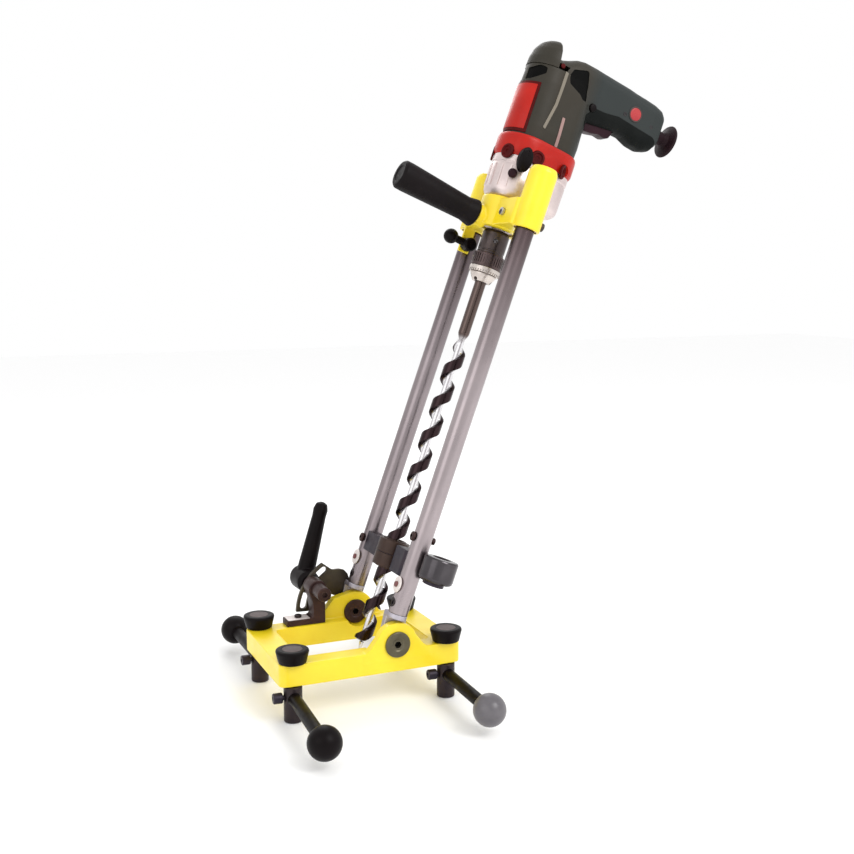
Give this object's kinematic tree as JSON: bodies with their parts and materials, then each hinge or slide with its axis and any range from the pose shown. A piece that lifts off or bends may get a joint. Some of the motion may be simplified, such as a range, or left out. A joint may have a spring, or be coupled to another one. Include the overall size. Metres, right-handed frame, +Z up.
{
  "type": "tilting timber drill stand",
  "caption": "Tilting twin-column drill stand on a yellow base with corner knobs and fence rods, carrying a pistol-grip drill with a long auger bit.",
  "frame": {"origin": "under the tilt axis, on the underside of the base rails, midway between the two columns", "axes": "+Z up, +X along the timber towards the side the mast leans to, +Y across the timber"},
  "size_m": [0.6137, 0.4647, 0.843],
  "materials": {
    "yellow_paint": "gloss powder coat",
    "red_paint": "satin enamel",
    "steel": "ground steel",
    "bright_steel": "polished steel",
    "dark_steel": "blackened steel",
    "aluminium": "fine cast",
    "black_plastic": "fine texture",
    "housing_plastic": "fine texture",
    "rubber": "soft matte",
    "bronze": "turned bronze",
    "copper": "varnished winding"
  },
  "bodies": {
    "base": {"base_frame": "yellow_paint", "pivot_bolt_front": "steel", "pivot_bolt_rear": "steel", "lock_bracket": "dark_steel", "tilt_clamp_bolt": "dark_steel"},
    "tilt_lever": {"tilt_clamp_lever": "black_plastic"},
    "knob_front_left": {"corner_knob_front_left": "black_plastic"},
    "knob_front_right": {"corner_knob_front_right": "black_plastic"},
    "knob_rear_left": {"corner_knob_rear_left": "black_plastic"},
    "knob_rear_right": {"corner_knob_rear_right": "black_plastic"},
    "fence_front_left": {"fence_post_front_left": "dark_steel", "fence_rod_front_left": "black_plastic", "post_screw_front_left": "dark_steel"},
    "fence_front_right": {"fence_post_front_right": "dark_steel", "fence_rod_front_right": "black_plastic", "post_screw_front_right": "dark_steel"},
    "fence_rear_left": {"fence_post_rear_left": "dark_steel", "fence_rod_rear_left": "black_plastic", "post_screw_rear_left": "dark_steel"},
    "fence_rear_right": {"fence_post_rear_right": "dark_steel", "fence_rod_rear_right": "black_plastic", "post_screw_rear_right": "dark_steel"},
    "mast": {"mast_leg_front": "aluminium", "mast_leg_rear": "aluminium", "tilt_sector": "steel", "column_front": "steel", "column_rear": "steel", "column_screw_front": "steel", "column_screw_rear": "steel", "guide_bracket": "dark_steel", "guide_bush": "bronze", "guide_bolt_front": "dark_steel", "guide_bolt_rear": "dark_steel"},
    "guide_nut": {"guide_lock_nut": "aluminium"},
    "carriage": {"carriage_casting": "yellow_paint", "carriage_bush_front": "bronze", "carriage_bush_rear": "bronze", "carriage_grip": "black_plastic", "collar_screw": "steel", "gearbox_housing": "aluminium", "gearbox_flange": "red_paint", "spindle_bearing": "bright_steel", "stator": "dark_steel", "rear_cap": "housing_plastic", "housing_shell_front": "housing_plastic", "housing_shell_rear": "housing_plastic", "switch_module": "black_plastic", "handle_badge": "red_paint", "cord_gland": "rubber"},
    "carriage_lever": {"carriage_clamp_lever": "black_plastic"},
    "spindle": {"spindle": "bright_steel", "chuck_body": "dark_steel", "auger_bit": "bright_steel"},
    "chuck_ring": {"chuck_ring": "steel"},
    "lay": {"lay_gear": "steel"},
    "armature": {"armature": "copper"},
    "trigger": {"trigger": "black_plastic"},
    "lock_button": {"trigger_lock_button": "black_plastic"},
    "gear_selector": {"gear_selector": "black_plastic"},
    "selector_button": {"selector_button": "dark_steel"}
  },
  "joints": [
    {"name": "tilt_lever_turn", "type": "hinge", "parent": "base", "child": "tilt_lever", "pos_m": [-0.057, 0.115, 0.075], "axis": [0, 1, 0], "range_deg": [-75, 60]},
    {"name": "knob_front_left_turn", "type": "hinge", "parent": "base", "child": "knob_front_left", "pos_m": [-0.1345, -0.075, 0.03], "axis": [0, 0, 1], "range_deg": [0, 360]},
    {"name": "knob_front_right_turn", "type": "hinge", "parent": "base", "child": "knob_front_right", "pos_m": [0.0705, -0.075, 0.03], "axis": [0, 0, 1], "range_deg": [0, 360]},
    {"name": "knob_rear_left_turn", "type": "hinge", "parent": "base", "child": "knob_rear_left", "pos_m": [-0.1345, 0.075, 0.03], "axis": [0, 0, 1], "range_deg": [0, 360]},
    {"name": "knob_rear_right_turn", "type": "hinge", "parent": "base", "child": "knob_rear_right", "pos_m": [0.0705, 0.075, 0.03], "axis": [0, 0, 1], "range_deg": [0, 360]},
    {"name": "fence_front_left_swivel", "type": "hinge", "parent": "base", "child": "fence_front_left", "pos_m": [-0.1345, -0.075, -0.02], "axis": [0, 0, 1], "range_deg": [-75, 30]},
    {"name": "fence_front_right_swivel", "type": "hinge", "parent": "base", "child": "fence_front_right", "pos_m": [0.0705, -0.075, -0.02], "axis": [0, 0, 1], "range_deg": [-30, 75]},
    {"name": "fence_rear_left_swivel", "type": "hinge", "parent": "base", "child": "fence_rear_left", "pos_m": [-0.1345, 0.075, -0.02], "axis": [0, 0, 1], "range_deg": [-30, 75]},
    {"name": "fence_rear_right_swivel", "type": "hinge", "parent": "base", "child": "fence_rear_right", "pos_m": [0.0705, 0.075, -0.02], "axis": [0, 0, 1], "range_deg": [-75, 30]},
    {"name": "mast_tilt", "type": "hinge", "parent": "base", "child": "mast", "pos_m": [0, 0, 0.0353], "axis": [0, 1, 0], "range_deg": [-20, 25]},
    {"name": "guide_nut_turn", "type": "hinge", "parent": "mast", "child": "guide_nut", "pos_m": [0.04641, -0.104, 0.13012], "axis": [0.3437, 0, 0.9391], "range_deg": [0, 360]},
    {"name": "carriage_feed", "type": "slide", "parent": "mast", "child": "carriage", "axis": [0.3437, 0, 0.9391], "range_m": [-0.34, 0]},
    {"name": "carriage_lever_turn", "type": "hinge", "parent": "carriage", "child": "carriage_lever", "pos_m": [0.15843, 0.057, 0.53371], "axis": [0, 1, 0], "range_deg": [-120, 0]},
    {"name": "spindle_spin", "type": "hinge", "parent": "carriage", "child": "spindle", "pos_m": [0.16338, 0, 0.50794], "axis": [0.3437, 0, 0.9391], "continuous": true},
    {"name": "chuck_ring_turn", "type": "hinge", "parent": "spindle", "child": "chuck_ring", "pos_m": [0.16338, 0, 0.50794], "axis": [0.3437, 0, 0.9391], "range_deg": [-360, 0]},
    {"name": "lay_gear_spin", "type": "hinge", "parent": "carriage", "child": "lay", "pos_m": [0.23467, 0, 0.60963], "axis": [0.3437, 0, 0.9391], "continuous": true},
    {"name": "armature_spin", "type": "hinge", "parent": "carriage", "child": "armature", "pos_m": [0.16338, 0, 0.50794], "axis": [0.3437, 0, 0.9391], "continuous": true},
    {"name": "trigger_pull", "type": "slide", "parent": "carriage", "child": "trigger", "axis": [0.3437, 0, 0.9391], "range_m": [0, 0.006], "stiffness_N_per_m": 600, "springref_m": -0.002},
    {"name": "lock_button_press", "type": "slide", "parent": "carriage", "child": "lock_button", "axis": [0, 1, 0], "range_m": [0, 0.003], "stiffness_N_per_m": 400, "springref_m": -0.001},
    {"name": "gear_selector_turn", "type": "hinge", "parent": "carriage", "child": "gear_selector", "pos_m": [0.19447, -0.039, 0.63946], "axis": [0, -1, 0], "range_deg": [0, 90]},
    {"name": "selector_button_press", "type": "slide", "parent": "carriage", "child": "selector_button", "axis": [0.3854, 0.9119, -0.141], "range_m": [0, 0.0015], "stiffness_N_per_m": 400, "springref_m": -0.001}
  ],
  "couplings": [
    {"joint": "lay_gear_spin", "follows": "spindle_spin", "ratio": -2.3333},
    {"joint": "armature_spin", "follows": "spindle_spin", "ratio": 9.3333}
  ]
}
